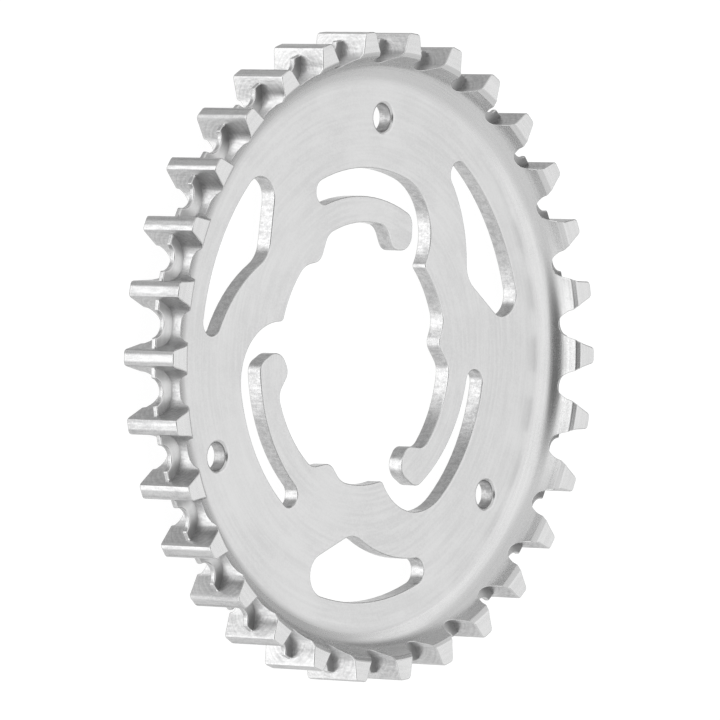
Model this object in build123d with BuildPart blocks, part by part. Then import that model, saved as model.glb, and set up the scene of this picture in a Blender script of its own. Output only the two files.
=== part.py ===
from build123d import *
from math import atan2, cos, degrees, radians, sin, sqrt
import os

os.makedirs("parts", exist_ok=True)

# Belt drive sprocket, lying flat with its dished face up.
# Z is the axis of rotation, Z = 0 is the plane of the rear tooth ends.
# All lengths in millimetres, all angles in degrees from +X.

# Teeth
tooth_count = 30
tip_radius = 51.4
tooth_length = 10.3
tooth_depth = 4.95
groove_radius = 3.45
flank_lean = 13.7
tip_rounding = 0.6
tooth_phase = 1.55

# Thin centre fin that crosses every tooth gap, with deeper gaps behind it
fin_thickness = 0.92
fin_land_height = 3.9
fin_scallop_radius = 2.2
fin_scallop_depth = 1.7
rear_relief = 0.65

# Plate, its dished rim in front and the bevelled corner behind
plate_thickness = 2.8
rim_height = 3.85
front_curve = 4.7
back_bevel = 1.6
lip_lean = 15.0
lip_bevel_in = 0.7
lip_bevel_up = 0.6

# Hub opening
hub_radius = 20.35
throat_angle = 45.7
throat_rounding = 0.8

# Nub that leads from the hub opening into the arm
nub_height = 1.95
nub_angle = 127.1
nub_foot_angle = 136.7
nub_rounding = 2.2
nub_foot_rounding = 4.0

# Sprung arm with a hooked end
arm_setback = 0.85
arm_width = 4.15
arm_end_width = 3.73
arm_root_angle = 116.7
arm_mid_angle = 92.0
arm_root_rounding = 3.0
hook_reach = 10.95
hook_depth = 3.4
toe_length = 4.57
hook_neck_angle = 77.6
hook_corner_rounding = 2.2
hook_foot_rounding = 2.6
hook_toe_rounding = 2.0
hook_neck_rounding = 2.6

# Slot outside the arm, and the wide turn where it opens into the hub
slot_mid_width = 4.45
slot_end_width = 4.0
slot_end_angle = 112.6
turn_radius = 9.4
turn_angle = 72.4

# Kidney windows
rim_web = 3.65
arm_web = 2.2
web_mid_angle = 42.0
apex_setback = 7.65
apex_angle = 27.8
apex_rounding = 4.5
wide_end_share = 0.4892
narrow_end_share = 0.3022
window_wide_angle = 17.3
window_narrow_angle = 53.0

# Bolt holes
hole_setback = 4.63
hole_radius = 2.15
hole_bevel = 0.4
hole_angle = 85.5

mid_plane = tooth_length / 2
plate_front = mid_plane
plate_back = plate_front - plate_thickness
repeat = (0, 120, 240)
pitch_angle = 360 / tooth_count
root_radius = tip_radius - tooth_depth
face_radius = root_radius - rim_height
hole_circle_radius = face_radius - hole_setback


def polar(radius, angle):
    return Vector(radius * cos(radians(angle)), radius * sin(radians(angle)))


def angle_of(point):
    return degrees(atan2(point.Y, point.X))


# Turned section of the blank: flat web, dished rim, bevelled corner behind.
# The dish is turned as short flats, because the tooth gaps cut it thirty times.
lip_slope = sin(radians(lip_lean)) / cos(radians(lip_lean))
bend = 90 - lip_lean
front_end_r = face_radius + front_curve * sin(radians(bend))
front_end_z = plate_front + front_curve * (1 - cos(radians(bend)))
lip_z = tooth_length - lip_bevel_up
lip_r = front_end_r + (lip_z - front_end_z) * lip_slope
back_lip_r = lip_r + lip_bevel_up * lip_slope
back_bevel_r = back_lip_r - (plate_back - back_bevel) * lip_slope


def front_point(angle):
    r = face_radius + front_curve * sin(radians(angle))
    return (r, plate_front + front_curve * (1 - cos(radians(angle))))


front_flats = [front_point(bend * step / 5) for step in range(5, -1, -1)]

# Tooth gap seen along the axis, centred on +Y: a round groove, two straight
# flanks that lean outward, and tooth corners broken by two short flats each.
lean_out = radians(flank_lean + pitch_angle / 2)
side = Vector(cos(lean_out), -sin(lean_out))
rise = Vector(sin(lean_out), cos(lean_out))
flanks_meet = root_radius + groove_radius - groove_radius / sin(lean_out)


def mirrored(point):
    return Vector(-point.X, point.Y)


def gap_outline(root):
    radius = (root - flanks_meet) * sin(lean_out) / (1 - sin(lean_out))
    foot = Vector(0, root + radius) + side * radius
    along = (foot + side * tip_rounding).dot(rise)
    inner = (tip_radius - tip_rounding) ** 2
    reach = inner - (foot + side * tip_rounding).length ** 2
    top = foot + rise * (sqrt(along**2 + reach) - along)
    centre = top + side * tip_rounding
    outward = centre.normalized()
    land = centre + outward * tip_rounding
    corner = centre + (outward - side).normalized() * tip_rounding
    clear = land + outward * 2
    with BuildSketch() as gap:
        with BuildLine():
            ThreePointArc(mirrored(foot), (0, root), foot)
            right = (foot, top, corner, land, clear)
            Polyline(*right, *[mirrored(point) for point in reversed(right)])
        make_face()
    return gap.sketch


front_gap = gap_outline(root_radius)
rear_gap = gap_outline(root_radius - rear_relief)

# The fin keeps a scalloped web in each gap: only this is taken from it.
fin_land_radius = root_radius + fin_land_height
scallop_y = fin_land_radius - fin_scallop_depth + fin_scallop_radius
with BuildSketch() as fin_gap:
    Circle(2 * tip_radius)
    Circle(fin_land_radius, mode=Mode.SUBTRACT)
    with Locations((0, scallop_y)):
        Circle(fin_scallop_radius)
    add(front_gap, mode=Mode.INTERSECT)

# Hub opening: the corners of one sector, walked counter-clockwise.
arm_inner = hub_radius + arm_setback
arm_outer = arm_inner + arm_width
arm_end = arm_inner + arm_end_width
slot_outer = arm_outer + slot_mid_width
throat = polar(hub_radius, throat_angle)
slot_start = polar(slot_outer, turn_angle)
slot_outer_end = polar(slot_outer, slot_end_angle)
slot_inner_end = polar(slot_outer - slot_end_width, slot_end_angle)
hook_corner = Vector(hook_reach, sqrt(arm_end**2 - hook_reach**2))
hook_foot = Vector(hook_reach, hub_radius - hook_depth)
toe = Vector(hook_reach - toe_length, hub_radius - hook_depth)
hook_neck = polar(arm_inner, hook_neck_angle)
arm_root = polar(arm_inner, arm_root_angle)
nub_tip = polar(hub_radius - nub_height, nub_angle)
nub_foot = polar(hub_radius, nub_foot_angle)
next_throat = polar(hub_radius, throat_angle + 120)

# Points half way along its round stretches
slot_end_centre = polar(slot_outer - slot_end_width / 2, slot_end_angle)
slot_cap = slot_end_centre + polar(slot_end_width / 2, slot_end_angle + 90)
slot_mid = polar(slot_outer, (turn_angle + slot_end_angle) / 2)
turn_centre = polar(slot_outer - turn_radius, turn_angle)
turn_aim = (angle_of(throat - turn_centre) + turn_angle) / 2
turn_mid = turn_centre + polar(turn_radius, turn_aim)
arm_outer_mid = polar(arm_outer, arm_mid_angle)
arm_inner_mid = polar(arm_inner, (hook_neck_angle + arm_root_angle) / 2)
hub_mid = polar(hub_radius, (nub_foot_angle + throat_angle + 120) / 2)

with BuildSketch() as hub_opening:
    with BuildLine():
        for turn in repeat:
            with BuildLine(mode=Mode.PRIVATE) as sector:
                ThreePointArc(throat, turn_mid, slot_start)
                ThreePointArc(slot_start, slot_mid, slot_outer_end)
                ThreePointArc(slot_outer_end, slot_cap, slot_inner_end)
                ThreePointArc(slot_inner_end, arm_outer_mid, hook_corner)
                Polyline(hook_corner, hook_foot, toe, hook_neck)
                ThreePointArc(hook_neck, arm_inner_mid, arm_root)
                Polyline(arm_root, nub_tip, nub_foot)
                ThreePointArc(nub_foot, hub_mid, next_throat)
            add(sector.line.rotate(Axis.Z, turn))
    make_face()
    for turn in repeat:
        for corner, rounding in (
            (throat, throat_rounding),
            (hook_corner, hook_corner_rounding),
            (hook_foot, hook_foot_rounding),
            (toe, hook_toe_rounding),
            (hook_neck, hook_neck_rounding),
            (arm_root, arm_root_rounding),
            (nub_tip, nub_rounding),
            (nub_foot, nub_foot_rounding),
        ):
            spot = corner.rotate(Axis.Z, turn)
            fillet(hub_opening.vertices().sort_by_distance(spot)[0], rounding)

# Kidney window: a round wide end, a straight inner edge up to a soft apex, then
# a long curve past the slot's turn to the round narrow end.
window_outer = face_radius - rim_web
room = window_outer - slot_outer - arm_web
window_wide_radius = wide_end_share * room
window_narrow_radius = narrow_end_share * room
wide_centre = polar(window_outer - window_wide_radius, window_wide_angle)
wide_end = polar(window_outer, window_wide_angle)
narrow_centre = polar(window_outer - window_narrow_radius, window_narrow_angle)
narrow_start = polar(window_outer, window_narrow_angle)
web_mid = polar(slot_outer + arm_web, web_mid_angle)
apex = polar(hub_radius + apex_setback, apex_angle)
outer_mid = polar(window_outer, (window_wide_angle + window_narrow_angle) / 2)


def tangent_aim(centre, radius, point, way):
    reach = point - centre
    turn = degrees(atan2(sqrt(reach.length**2 - radius**2), radius))
    return angle_of(reach) + way * turn


full_turn = tooth_count * pitch_angle
wide_aim = tangent_aim(wide_centre, window_wide_radius, apex, 1) - full_turn
wide_start = wide_centre + polar(window_wide_radius, wide_aim)
wide_cap = wide_centre + polar(window_wide_radius, (wide_aim + window_wide_angle) / 2)
narrow_aim = tangent_aim(narrow_centre, window_narrow_radius, web_mid, -1)
narrow_end = narrow_centre + polar(window_narrow_radius, narrow_aim)
narrow_cap = narrow_centre + polar(window_narrow_radius, window_narrow_angle + 90)

with BuildSketch() as window:
    with BuildLine():
        ThreePointArc(wide_end, outer_mid, narrow_start)
        ThreePointArc(narrow_start, narrow_cap, narrow_end)
        ThreePointArc(narrow_end, web_mid, apex)
        Line(apex, wide_start)
        ThreePointArc(wide_start, wide_cap, wide_end)
    make_face()
    fillet(window.vertices().sort_by_distance(apex)[0], apex_rounding)

with BuildPart() as sprocket:
    with BuildSketch(Plane.XZ):
        with BuildLine():
            Polyline(
                (0, plate_back),
                (back_bevel_r - back_bevel, plate_back),
                (back_bevel_r, plate_back - back_bevel),
                (back_lip_r, 0),
                (tip_radius, 0),
                (tip_radius, tooth_length),
                (lip_r + lip_bevel_in, tooth_length),
                (lip_r, lip_z),
                *front_flats,
                (0, plate_front),
                close=True,
            )
        make_face()
    revolve(axis=Axis.Z)

    # Gaps in front of the fin, gaps behind it, and the scallops in the fin
    first_gap = tooth_phase + pitch_angle / 2 - 90
    for gap, level, depth in (
        (front_gap, mid_plane + fin_thickness / 2, tooth_length),
        (rear_gap, mid_plane - fin_thickness / 2, -tooth_length),
        (fin_gap.sketch, mid_plane - fin_thickness / 2, fin_thickness),
    ):
        with BuildSketch(Plane.XY.offset(level)):
            with PolarLocations(0, tooth_count, start_angle=first_gap):
                add(gap)
        extrude(amount=depth, mode=Mode.SUBTRACT)

    # Hub opening and windows
    with BuildSketch(Plane.XY):
        add(hub_opening.sketch)
        with PolarLocations(0, len(repeat)):
            add(window.sketch)
    extrude(amount=tooth_length, mode=Mode.SUBTRACT)

    # Bolt holes with a bevelled mouth on the front face
    with Locations(Plane.XY.offset(plate_front)):
        with PolarLocations(hole_circle_radius, len(repeat), start_angle=hole_angle):
            CounterSinkHole(hole_radius, hole_radius + hole_bevel, counter_sink_angle=90)

sprocket.part.label = "sprocket"
export_step(sprocket.part, "parts/sprocket.step")
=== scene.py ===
import bmesh
import bpy
import math
from mathutils import Matrix, Vector


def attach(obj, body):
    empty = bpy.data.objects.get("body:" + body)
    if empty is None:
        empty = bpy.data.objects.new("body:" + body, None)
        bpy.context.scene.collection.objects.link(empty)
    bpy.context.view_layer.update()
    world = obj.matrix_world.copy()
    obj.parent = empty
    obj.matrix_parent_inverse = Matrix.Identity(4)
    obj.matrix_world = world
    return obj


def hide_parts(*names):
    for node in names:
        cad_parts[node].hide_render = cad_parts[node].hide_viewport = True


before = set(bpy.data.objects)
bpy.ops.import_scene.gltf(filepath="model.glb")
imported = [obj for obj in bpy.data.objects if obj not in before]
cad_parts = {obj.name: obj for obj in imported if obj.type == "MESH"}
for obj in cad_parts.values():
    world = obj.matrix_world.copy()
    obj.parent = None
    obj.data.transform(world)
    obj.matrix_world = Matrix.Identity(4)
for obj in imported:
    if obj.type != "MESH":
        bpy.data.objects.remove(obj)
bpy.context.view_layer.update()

# the sprocket is the solid's own mesh with its sharp outer edges broken
sprocketEdges = {
    "mergeWithin": 0.000002,     # metres, joins the loose triangles
    "flatWithin": 0.4,           # degrees, triangles this flat become one face
    "sharpOver": 26.0,           # degrees, edges that get broken
    "edgeBreak": 0.00022,        # metres
    "breakSegments": 3,
    "breakRound": 0.5,
    "tipFrom": 0.0500,           # metres from the axis, where the rounded tooth corners start
    "tipSharpOver": 44.0,        # degrees, the two flats of a tooth corner stay one curve
    "smoothWithin": 30.0,        # degrees, flats this close shade as one surface
    "brokenWithin": 62.0,        # degrees, the same for a broken edge
    "crownFrom": 0.0506,         # metres from the axis, where the tooth tips start
    "crownFacing": 0.3,          # a tip faces along the axis less than this
    "tipCrown": 0.6,             # how much rounder a tip shades
    "dishFrom": 0.04260,         # metres from the axis, where the face turns up into the dish
    "dishTo": 0.04740,           # metres from the axis, where the dish ends
    "dishCurve": 0.00470,        # metres, its radius
    "dishLean": 68.0,            # degrees, where it runs out into the lip
    "dishFacing": (0.2, 0.9995),     # how far its flats face along the axis
    "dishOutward": -0.03,        # and outwards, less than this
    "floorFrom": 0.04635,        # metres from the axis, the tooth gap's floor
    "floorTo": 0.04800,
    "floorAbove": 0.00560,       # metres up the axis, in front of the fin
    "floorFacing": 0.05,         # a floor faces along the axis less than this
    "floorOutward": 0.55,        # and outwards more than this
    "floorLean": 20.0,           # degrees, a floor shades a little open to the front
    "finFacing": 0.99,           # the fin's front faces along the axis more than this
    "finTop": 0.00650,           # metres up the axis
    "finLean": 20.0,             # degrees, the fin's front shades a little open to the outside
    "holeCount": 3,
    "holeAngle": 85.5,           # degrees, round to the first bolt hole
    "holeOut": 0.03797,          # metres, out to the bolt holes
    "holeWithin": 0.0026,        # metres, round a bolt hole's middle
    "holeFacing": 0.5,           # a hole's wall faces along the axis less than this
}


def leanedNormal(normal, near, spot, outward, look):
    # the dish, the gap floors and the fin's front shade further round than their flats
    steepest, flattest = look["dishFacing"]
    for flat in near:
        facing = flat.normal.z
        middle = flat.calc_center_median()
        out = middle.xy.length
        inDish = look["dishFrom"] < out < look["dishTo"] and steepest < facing < flattest
        if inDish and flat.normal.dot(outward) < look["dishOutward"]:
            climb = (spot.xy.length - look["dishFrom"]) / look["dishCurve"]
            lean = math.asin(max(0.0, min(1.0, climb)))
            lean = min(lean, math.radians(look["dishLean"]))
            return Vector((0, 0, math.cos(lean))) - outward * math.sin(lean)
        onFloor = look["floorFrom"] < out < look["floorTo"] and middle.z > look["floorAbove"]
        if onFloor and abs(facing) < look["floorFacing"]:
            past = max(0.0, normal.dot(outward) - look["floorOutward"])
            share = past / (1.0 - look["floorOutward"])
            forward = math.tan(math.radians(look["floorLean"])) * share
            return (normal + Vector((0, 0, forward))).normalized()
        onFin = out > look["floorFrom"] and middle.z < look["finTop"]
        if onFin and facing > look["finFacing"]:
            return (normal + outward * math.tan(math.radians(look["finLean"]))).normalized()
    return normal


def evenNormals(bm, broken, look):
    # every face corner takes the mean of the flats round it that nearly face its own way
    normals = []
    for face in bm.faces:
        within = look["brokenWithin"] if face[broken] else look["smoothWithin"]
        limit = math.cos(math.radians(within))
        farOut = face.calc_center_median().xy.length > look["crownFrom"]
        crowned = farOut and abs(face.normal.z) < look["crownFacing"]
        for corner in face.loops:
            spot = corner.vert.co
            outward = Vector((spot.x, spot.y, 0)).normalized()
            near = [flat for flat in corner.vert.link_faces
                    if flat[broken] == 0 and flat.normal.dot(face.normal) > limit]
            normal = Vector((0, 0, 0))
            for flat in near or corner.vert.link_faces:
                weight = flat.normal.cross(outward).length if crowned else flat.calc_area()
                normal += flat.normal * weight
            normal.normalize()
            if crowned:
                sideways = normal - outward * normal.dot(outward)
                normal = (normal + sideways * look["tipCrown"]).normalized()
            normals.append(leanedNormal(normal, near, spot, outward, look))
    return normals


def sharpEdges(bm, look):
    # the outer corners between two faces, past the angle where they stop being a curve
    sharp = []
    for edge in bm.edges:
        edge.smooth = True
        if not edge.is_manifold:
            continue
        angle = math.degrees(edge.calc_face_angle(0.0))
        middle = (edge.verts[0].co + edge.verts[1].co) / 2
        onTip = middle.xy.length > look["tipFrom"]
        if angle > (look["tipSharpOver"] if onTip else look["sharpOver"]) and edge.is_convex:
            sharp.append(edge)
    return sharp


def holeMiddles(look):
    middles = []
    for count in range(look["holeCount"]):
        angle = math.radians(look["holeAngle"] + 360 / look["holeCount"] * count)
        middles.append((Matrix.Rotation(angle, 3, "Z") @ Vector((look["holeOut"], 0, 0))).xy)
    return middles


def edgeBrokenCopy(source, name, look):
    mesh = source.data.copy()
    mesh.name = name
    piece = bpy.data.objects.new(name, mesh)
    bpy.context.scene.collection.objects.link(piece)
    bm = bmesh.new()
    bm.from_mesh(mesh)
    bmesh.ops.remove_doubles(bm, verts=bm.verts, dist=look["mergeWithin"])
    bmesh.ops.dissolve_limit(bm, angle_limit=math.radians(look["flatWithin"]),
                             use_dissolve_boundaries=False,
                             verts=bm.verts, edges=bm.edges, delimit=set())
    sharp = sharpEdges(bm, look)
    print("sprocket faces", len(bm.faces), "sharp edges", len(sharp))
    broken = bm.faces.layers.int.new("brokenEdge")
    worn = bm.faces.layers.float.new("edgeWear")         # read by the steel
    drilled = bm.faces.layers.float.new("drilled")       # read by the steel
    made = bmesh.ops.bevel(bm, geom=sharp, offset=look["edgeBreak"], offset_type="OFFSET",
                           segments=look["breakSegments"], profile=look["breakRound"],
                           affect="EDGES", clamp_overlap=False, material=-1)
    for face in made["faces"]:
        face[broken] = 1
        face[worn] = 1.0
    bm.normal_update()
    normals = evenNormals(bm, broken, look)
    holes = holeMiddles(look)
    for face in bm.faces:
        face.smooth = True
        middle = face.calc_center_median().xy
        inHole = min((middle - hole).length for hole in holes) < look["holeWithin"]
        if inHole and abs(face.normal.z) < look["holeFacing"]:
            face[drilled] = 1.0
    bm.to_mesh(mesh)
    bm.free()
    mesh.normals_split_custom_set(normals)
    print("sprocket faces with broken edges", len(mesh.polygons))
    return piece


sprocketPiece = edgeBrokenCopy(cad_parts["sprocket"], "sprocketBody", sprocketEdges)
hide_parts("sprocket")
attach(sprocketPiece, "root")
print("sprocket made")


def mathNode(tree, operation, first, second=None):
    node = tree.nodes.new("ShaderNodeMath")
    node.operation = operation
    for place, value in enumerate((first, second)):
        if value is None:
            continue
        if isinstance(value, (int, float)):
            node.inputs[place].default_value = value
        else:
            tree.links.new(value, node.inputs[place])
    return node.outputs[0]


def noiseNode(tree, vector, scale, grain):
    noise = tree.nodes.new("ShaderNodeTexNoise")
    noise.inputs["Scale"].default_value = scale
    noise.inputs["Detail"].default_value = grain[0]
    noise.inputs["Roughness"].default_value = grain[1]
    tree.links.new(vector, noise.inputs["Vector"])
    return noise.outputs["Fac"]


def softStep(tree, value, fromMin, fromMax, toMin=0.0, toMax=1.0):
    step = tree.nodes.new("ShaderNodeMapRange")
    step.interpolation_type = "SMOOTHSTEP"
    span = {"From Min": fromMin, "From Max": fromMax, "To Min": toMin, "To Max": toMax}
    for label, number in span.items():
        step.inputs[label].default_value = number
    tree.links.new(value, step.inputs["Value"])
    return step.outputs["Result"]


# satin steel; a grain is a noise's detail and roughness, a spread its darkest and lightest
steelLook = {
    "colour": (0.62, 0.62, 0.62, 1.0),
    "dull": (0.38, 0.38, 0.385, 1.0),
    "dullness": 0.20,            # share of the dull tone in the grain
    "wallDullness": 0.45,        # added on the cut walls
    "cloudShare": 0.5,           # share of the dull tone that follows the cloud
    "smooth": 0.20,              # roughness where the grain is finest
    "coarse": 0.30,
    "cloudCoarse": 0.4,          # share of the roughness that follows the cloud
    "wornSmooth": 0.6,           # share of it that a broken edge loses
    "faceCoarse": 0.09,          # added on the flat face
    "flankCoarse": 0.10,         # added on the tooth flanks
    "floorCoarse": 0.14,         # added on the tooth gaps' floors and the fin
    "drilledCoarse": 0.16,       # added in the bolt holes
    "drilledDark": 0.84,         # share of the light that a bolt hole's wall keeps
    "wallFacing": (0.05, 0.22),  # facing along the axis, from a cut wall to a turned one
    "levelFacing": (0.95, 0.99),     # and from a leaning surface to a level front one
    "gapFrom": 0.0457,           # metres from the axis, where the tooth gaps start
    "gapSoft": 0.0006,           # metres, how softly
    "gapTop": 0.0080,            # metres up the axis, under the tooth ends
    "gapTopSoft": 0.0005,
    "floorOut": 0.0477,          # metres from the axis, where the floor ends and the flank starts
    "floorSoft": 0.0004,
    "tipOut": 0.0511,            # metres from the axis, where the flank ends
    "tipSoft": 0.0003,
    "speckle": 3600.0,           # grains to the metre
    "speckleGrain": (3.0, 0.65),
    "speckleShare": 0.5,         # share of the grain, beside the marks
    "speckleDepth": 0.000007,    # metres
    "grainSpread": (0.38, 0.62),
    "cloud": 95.0,               # clouds to the metre
    "cloudGrain": (3.0, 0.55),
    "cloudSpread": (0.35, 0.65),
    "arcs": 1900.0,              # turning marks to the metre, out from the axis
    "arcGrain": (4.0, 0.6),
    "arcSpread": 3.0,            # how soon a turning mark ends, round the axis
    "arcDepth": 0.000003,        # metres
    "streaks": 2600.0,           # streaks to the metre on the cut walls
    "streakGrain": (3.0, 0.6),
    "streakStretch": 0.22,       # their share of that up the axis, so they run long
    "streakDepth": 0.000007,     # metres
    "mottle": 1000.0,            # mottles to the metre on the cut walls
    "mottleGrain": (4.0, 0.7),
    "mottleSpread": (0.38, 0.60),
    "mottleDark": 0.82,          # share of the light that a dark mottle keeps
    "cutterOut": 0.0470,         # metres from the axis, the middle of the cutter's arcs
    "cutterUp": 0.0052,          # metres up the axis
    "cutterArcs": 2400.0,        # arcs to the metre on the tooth flanks
    "cutterStretch": 0.12,       # their share of that up the axis, so they run long
    "cutterGrain": (3.0, 0.6),
    "cutterSpread": (0.40, 0.60),
    "cutterDark": 0.86,          # share of the light that a dark arc keeps
    "cutterDepth": 0.000010,     # metres
    "teeth": 30,
    "firstGap": 7.55,            # degrees, round to the middle of a tooth gap
    # painted shade on the fin's front beside the flanks, where the corner would shade it
    "cornerShadeFrom": 0.07,          # shares of the pitch from the middle of a gap
    "cornerShadeTo": 0.26,
    "paintedCornerShade": 0.54,          # share of the light that the fin keeps beside a flank, as painted shade
}


def makeSteel(name, look):
    steel = bpy.data.materials.new(name)
    steel.use_nodes = True
    tree = steel.node_tree
    shader = tree.nodes["Principled BSDF"]

    def times(first, second):
        return mathNode(tree, "MULTIPLY", first, second)

    def plus(first, second):
        return mathNode(tree, "ADD", first, second)

    def minus(first, second):
        return mathNode(tree, "SUBTRACT", first, second)

    def length(first, second):
        return mathNode(tree, "SQRT", plus(times(first, first), times(second, second)))

    spot = tree.nodes.new("ShaderNodeTexCoord").outputs["Object"]
    apart = tree.nodes.new("ShaderNodeSeparateXYZ")
    tree.links.new(spot, apart.inputs[0])
    x, y, z = apart.outputs
    out = length(x, y)                       # distance from the axis
    surface = tree.nodes.new("ShaderNodeNewGeometry")
    facing = tree.nodes.new("ShaderNodeSeparateXYZ")
    tree.links.new(surface.outputs["True Normal"], facing.inputs[0])
    alongAxis = facing.outputs["Z"]
    holes = tree.nodes.new("ShaderNodeAttribute")
    holes.attribute_name = "drilled"
    wear = tree.nodes.new("ShaderNodeAttribute")
    wear.attribute_name = "edgeWear"

    # where each kind of surface is, as a mask from 0 to 1
    turned = softStep(tree, mathNode(tree, "ABSOLUTE", alongAxis), *look["wallFacing"])
    cut = minus(1.0, turned)
    level = softStep(tree, alongAxis, *look["levelFacing"])
    gapOut = softStep(tree, out, look["gapFrom"], look["gapFrom"] + look["gapSoft"])
    gapLow = softStep(tree, z, look["gapTop"], look["gapTop"] + look["gapTopSoft"], 1.0, 0.0)
    onFace = times(level, minus(1.0, gapOut))
    inGap = times(gapOut, mathNode(tree, "MAXIMUM", times(gapLow, level), cut))
    floorEnd = look["floorOut"] + look["floorSoft"]
    lowDown = softStep(tree, out, look["floorOut"], floorEnd, 1.0, 0.0)
    onFloor = times(inGap, mathNode(tree, "MAXIMUM", lowDown, level))
    underTip = softStep(tree, out, look["tipOut"] - look["tipSoft"], look["tipOut"], 1.0, 0.0)
    onFlank = times(minus(inGap, onFloor), underTip)
    onFin = times(times(gapOut, gapLow), level)
    onWall = times(cut, minus(1.0, gapOut))

    # turning marks: faint arcs round the axis, on what the lathe cut
    roundway = tree.nodes.new("ShaderNodeCombineXYZ")
    for place, side in enumerate((x, y)):
        share = mathNode(tree, "DIVIDE", side, out)
        tree.links.new(times(share, look["arcSpread"]), roundway.inputs[place])
    tree.links.new(times(plus(out, z), look["arcs"]), roundway.inputs[2])
    arcs = noiseNode(tree, roundway.outputs[0], 1.0, look["arcGrain"])

    # cut walls: short streaks through the thickness
    stretch = tree.nodes.new("ShaderNodeMapping")
    across, through = look["streaks"], look["streaks"] * look["streakStretch"]
    stretch.inputs["Scale"].default_value = (across, across, through)
    tree.links.new(spot, stretch.inputs["Vector"])
    streaks = noiseNode(tree, stretch.outputs[0], 1.0, look["streakGrain"])

    # one grain from all of them
    speckle = noiseNode(tree, spot, look["speckle"], look["speckleGrain"])
    cloud = noiseNode(tree, spot, look["cloud"], look["cloudGrain"])
    marks = plus(times(arcs, turned), times(streaks, cut))
    markShare = 1.0 - look["speckleShare"]
    grain = plus(times(marks, markShare), times(speckle, look["speckleShare"]))
    grainSpread = softStep(tree, grain, *look["grainSpread"])
    cloudSpread = softStep(tree, cloud, *look["cloudSpread"])

    wallDull = plus(look["dullness"], times(cut, look["wallDullness"]))
    cloudDull = plus(times(cloudSpread, look["cloudShare"]), 1.0 - look["cloudShare"])
    tone = tree.nodes.new("ShaderNodeMix")
    tone.data_type = "RGBA"
    tree.links.new(times(times(grainSpread, wallDull), cloudDull), tone.inputs["Factor"])
    tone.inputs[6].default_value = look["colour"]        # the node's two colours
    tone.inputs[7].default_value = look["dull"]

    grainCoarse = times(grainSpread, 1.0 - look["cloudCoarse"])
    coarseness = plus(grainCoarse, times(cloudSpread, look["cloudCoarse"]))
    kept = minus(1.0, times(wear.outputs["Fac"], look["wornSmooth"]))
    rough = softStep(tree, times(coarseness, kept), 0.0, 1.0, look["smooth"], look["coarse"])
    for mask, more in (
        (onFace, look["faceCoarse"]),
        (inGap, look["flankCoarse"]),
        (onFloor, look["floorCoarse"] - look["flankCoarse"]),
        (holes.outputs["Fac"], look["drilledCoarse"]),
    ):
        rough = plus(rough, times(mask, more))
    tree.links.new(rough, shader.inputs["Roughness"])
    shader.inputs["Metallic"].default_value = 1.0

    # cutter arcs on the tooth flanks, round the fin's foot
    farUp = minus(z, look["cutterUp"])
    swing = length(minus(out, look["cutterOut"]), farUp)
    sweep = tree.nodes.new("ShaderNodeCombineXYZ")
    tree.links.new(times(swing, look["cutterArcs"]), sweep.inputs[0])
    tree.links.new(times(farUp, look["cutterArcs"] * look["cutterStretch"]), sweep.inputs[1])
    cutterArcs = noiseNode(tree, sweep.outputs[0], 1.0, look["cutterGrain"])
    cutterLight = softStep(tree, cutterArcs, *look["cutterSpread"], look["cutterDark"], 1.0)

    # the cut walls are mottled
    mottle = noiseNode(tree, spot, look["mottle"], look["mottleGrain"])
    mottleLight = softStep(tree, mottle, *look["mottleSpread"], look["mottleDark"], 1.0)

    # painted shade: the fin's front is darker towards the flanks, standing in for the shade in
    # the corner beside each flank
    around = mathNode(tree, "ARCTAN2", y, x)
    shift = look["teeth"] + 0.5 - look["firstGap"] * look["teeth"] / 360     # keeps it over 0
    pitches = plus(times(around, look["teeth"] / math.tau), shift)
    fromMiddle = mathNode(tree, "ABSOLUTE", minus(mathNode(tree, "FRACT", pitches), 0.5))
    paintedShadeLost = 1.0 - look["paintedCornerShade"]
    # the painted corner shade, strongest beside each flank
    corner = softStep(tree, fromMiddle, look["cornerShadeFrom"], look["cornerShadeTo"], 0.0, paintedShadeLost)

    flankShade = times(onFlank, minus(1.0, cutterLight))
    wallShade = times(onWall, minus(1.0, mottleLight))
    holeShade = times(holes.outputs["Fac"], 1.0 - look["drilledDark"])
    # the darkening from the marks, together with the fin's painted corner shade
    marksAndPaintedShade = plus(plus(flankShade, wallShade), plus(holeShade, times(corner, onFin)))
    shaded = tree.nodes.new("ShaderNodeVectorMath")
    shaded.operation = "SCALE"
    tree.links.new(tone.outputs[2], shaded.inputs[0])    # the mixed colour
    tree.links.new(minus(1.0, marksAndPaintedShade), shaded.inputs["Scale"])
    tree.links.new(shaded.outputs[0], shader.inputs["Base Color"])

    height = times(speckle, look["speckleDepth"])
    for mark, mask, depth in (
        (arcs, turned, look["arcDepth"]),
        (streaks, cut, look["streakDepth"]),
        (cutterArcs, onFlank, look["cutterDepth"]),
    ):
        height = plus(height, times(times(mark, mask), depth))
    bump = tree.nodes.new("ShaderNodeBump")
    bump.inputs["Strength"].default_value = 1.0
    bump.inputs["Distance"].default_value = 1.0
    tree.links.new(height, bump.inputs["Height"])
    tree.links.new(bump.outputs["Normal"], shader.inputs["Normal"])
    return steel


sprocketPiece.data.materials.clear()
sprocketPiece.data.materials.append(makeSteel("satinSteel", steelLook))
print("steel made")

# a plain pale floor that the steel doesn't mirror
floorLook = {
    "size": 12.0,                # metres
    "glow": 0.94,                # keeps the floor near white, its shadow faint
    "tone": 0.14,                # its own grey, under the glow
}
white = (1.0, 1.0, 1.0, 1.0)


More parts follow.
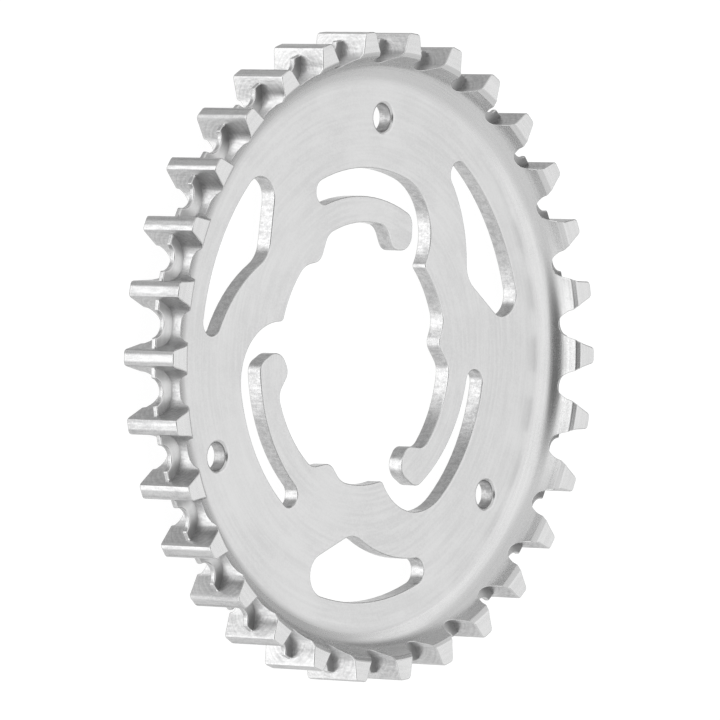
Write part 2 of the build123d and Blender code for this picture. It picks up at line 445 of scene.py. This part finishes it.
def layFloor(name, look):
    bm = bmesh.new()
    bmesh.ops.create_grid(bm, x_segments=1, y_segments=1, size=look["size"] / 2)
    mesh = bpy.data.meshes.new(name)
    bm.to_mesh(mesh)
    bm.free()
    floor = bpy.data.objects.new(name, mesh)
    bpy.context.scene.collection.objects.link(floor)
    paint = bpy.data.materials.new(name + "Paint")
    paint.use_nodes = True
    shader = paint.node_tree.nodes["Principled BSDF"]
    shader.inputs["Base Color"].default_value = (look["tone"],) * 3 + (1,)
    shader.inputs["Roughness"].default_value = 1.0
    shader.inputs["Specular IOR Level"].default_value = 0.0
    shader.inputs["Emission Color"].default_value = white
    shader.inputs["Emission Strength"].default_value = look["glow"]
    mesh.materials.append(paint)
    floor.visible_glossy = False             # the steel mirrors the soft dome all round it
    floor.visible_diffuse = False
    floor.visible_shadow = False


layFloor("paleFloor", floorLook)
print("floor made")

# soft studio light: one dome with a few broad patches
studio = {
    "lowTone": 0.56,             # light from under the horizon
    "highTone": 1.25,            # light from overhead
    "lowTo": -0.75,              # height on the dome, from -1 to 1
    "highFrom": 0.45,
    # towards, tone, full within and gone beyond, in degrees
    "patches": (
        ((0.55, -0.80, 0.25), 0.90, 25.0, 50.0),    # the picture's head is a little dimmer
        ((-0.25, -0.88, 0.40), 0.95, 25.0, 45.0),
        ((-0.15, 0.90, 0.35), 0.92, 25.0, 45.0),
        ((0.0, -0.8, -0.6), 0.95, 12.0, 60.0),      # fill from its foot
        ((1.0, 0.0, -0.05), 0.70, 16.0, 39.0),      # far side falls off
        ((0.68, 0.73, -0.05), 0.30, 8.0, 32.0),
        ((0.86, 0.30, 0.34), 0.58, 6.0, 20.0),
        ((0.76, 0.0, -0.65), 1.00, 8.0, 30.0),      # glow under the far side
        ((-0.94, 0.0, -0.34), 1.95, 22.0, 50.0),    # bright sweep on the near side
        ((-0.72, 0.0, 0.69), 0.20, 12.0, 35.0),     # dark behind the camera
    ),
}


def lightStudio(name, look):
    world = bpy.data.worlds.new(name)
    bpy.context.scene.world = world
    world.use_nodes = True
    tree = world.node_tree
    towards = tree.nodes.new("ShaderNodeTexCoord").outputs["Generated"]
    split = tree.nodes.new("ShaderNodeSeparateXYZ")
    tree.links.new(towards, split.inputs[0])
    light = softStep(tree, split.outputs["Z"], look["lowTo"], look["highFrom"],
                     look["lowTone"], look["highTone"])
    for aim, tone, within, beyond in look["patches"]:
        dot = tree.nodes.new("ShaderNodeVectorMath")
        dot.operation = "DOT_PRODUCT"
        dot.inputs[1].default_value = Vector(aim).normalized()
        tree.links.new(towards, dot.inputs[0])
        edge, full = math.cos(math.radians(beyond)), math.cos(math.radians(within))
        blend = tree.nodes.new("ShaderNodeMix")
        tree.links.new(softStep(tree, dot.outputs["Value"], edge, full), blend.inputs["Factor"])
        tree.links.new(light, blend.inputs[2])       # the node's two numbers
        blend.inputs[3].default_value = tone
        light = blend.outputs[0]
    dome = tree.nodes["Background"]
    dome.inputs["Color"].default_value = white
    tree.links.new(light, dome.inputs["Strength"])
    plain = tree.nodes.new("ShaderNodeBackground")       # seen past the floor's edge
    plain.inputs["Color"].default_value = white
    rays = tree.nodes.new("ShaderNodeLightPath")
    mixed = tree.nodes.new("ShaderNodeMixShader")
    tree.links.new(rays.outputs["Is Camera Ray"], mixed.inputs[0])
    tree.links.new(dome.outputs[0], mixed.inputs[1])
    tree.links.new(plain.outputs[0], mixed.inputs[2])
    tree.links.new(mixed.outputs[0], tree.nodes["World Output"].inputs["Surface"])


lightStudio("softStudio", studio)
bpy.context.scene.view_settings.view_transform = "Standard"
print("studio made")

# the camera stands where the photograph was taken from
cameraPlace = {
    "turn": 49.67,               # degrees from square on, round the picture's upright
    "roll": 1.85,                # degrees
    "distance": 1.650,           # metres
    "aside": 0.000624,           # metres, left and down in the picture
    "below": 0.000583,
    "middle": 0.00515,           # metres up the axis
    "lens": 522.0,               # millimetres, as is the sensor
    "sensor": 36.0,
    "sightEnd": 50.0,            # metres
}


def placeCamera(name, look):
    turn = math.radians(look["turn"])
    roll = math.radians(look["roll"])
    back = Vector((-math.sin(turn), 0, math.cos(turn)))
    across = Vector((math.cos(turn), 0, math.sin(turn)))
    upright = back.cross(across)
    right = across * math.cos(roll) + upright * math.sin(roll)
    up = upright * math.cos(roll) - across * math.sin(roll)
    camera = bpy.data.objects.new(name, bpy.data.cameras.new(name))
    bpy.context.scene.collection.objects.link(camera)
    camera.data.lens = look["lens"]
    camera.data.sensor_width = look["sensor"]
    camera.data.clip_end = look["sightEnd"]
    spot = Vector((0, 0, look["middle"])) + back * look["distance"]
    spot -= right * look["aside"] + up * look["below"]
    camera.matrix_world = Matrix((
        (right.x, up.x, back.x, spot.x),
        (right.y, up.y, back.y, spot.y),
        (right.z, up.z, back.z, spot.z),
        (0, 0, 0, 1),
    ))
    bpy.context.scene.camera = camera


placeCamera("pictureCamera", cameraPlace)
print("camera placed")

bpy.context.view_layer.update()
